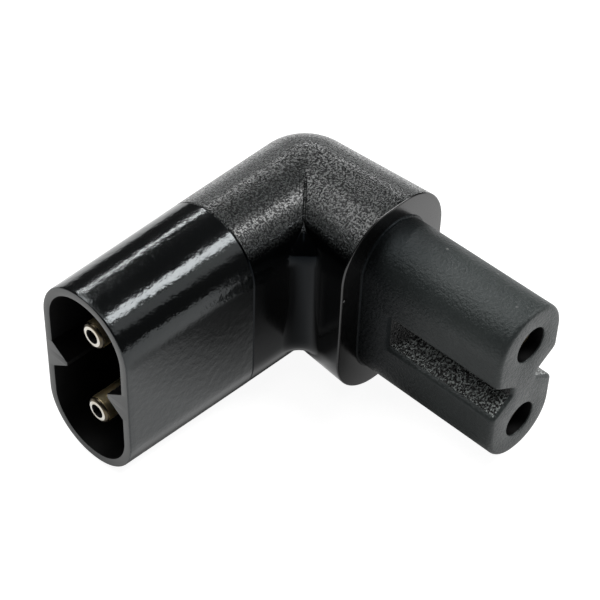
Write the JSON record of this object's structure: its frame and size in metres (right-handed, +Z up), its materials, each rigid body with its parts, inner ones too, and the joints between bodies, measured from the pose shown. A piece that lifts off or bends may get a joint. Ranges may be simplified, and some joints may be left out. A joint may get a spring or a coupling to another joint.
{
  "type": "figure eight power connector",
  "caption": "Right-angle power adapter with a figure-eight inlet on one arm and a figure-eight connector nose on the other.",
  "frame": {"origin": "centre of the bounding box in plan, on the plane that the two arms' undersides rest on", "axes": "+Z up along the long way of the figure eight; the inlet opens toward -X and the nose points toward -Y"},
  "size_m": [0.0308, 0.0302, 0.0191],
  "materials": {
    "inlet_housing": "glossy black moulding",
    "elbow_overmould": "spark-grained black flexible moulding with a smooth collar face",
    "connector_insert": "fine matte dark grey-black moulding",
    "inlet_pin_upper": "bright nickel plate over brass",
    "inlet_pin_lower": "bright nickel plate over brass",
    "contact_socket_upper": "plated spring brass",
    "contact_socket_lower": "plated spring brass",
    "link_strap_upper": "bare brass strip",
    "link_strap_lower": "bare brass strip"
  },
  "bodies": {
    "root": {"inlet_housing": "inlet_housing", "elbow_overmould": "elbow_overmould", "connector_insert": "connector_insert", "inlet_pin_upper": "inlet_pin_upper", "inlet_pin_lower": "inlet_pin_lower", "contact_socket_upper": "contact_socket_upper", "contact_socket_lower": "contact_socket_lower", "link_strap_upper": "link_strap_upper", "link_strap_lower": "link_strap_lower"}
  },
  "joints": []
}
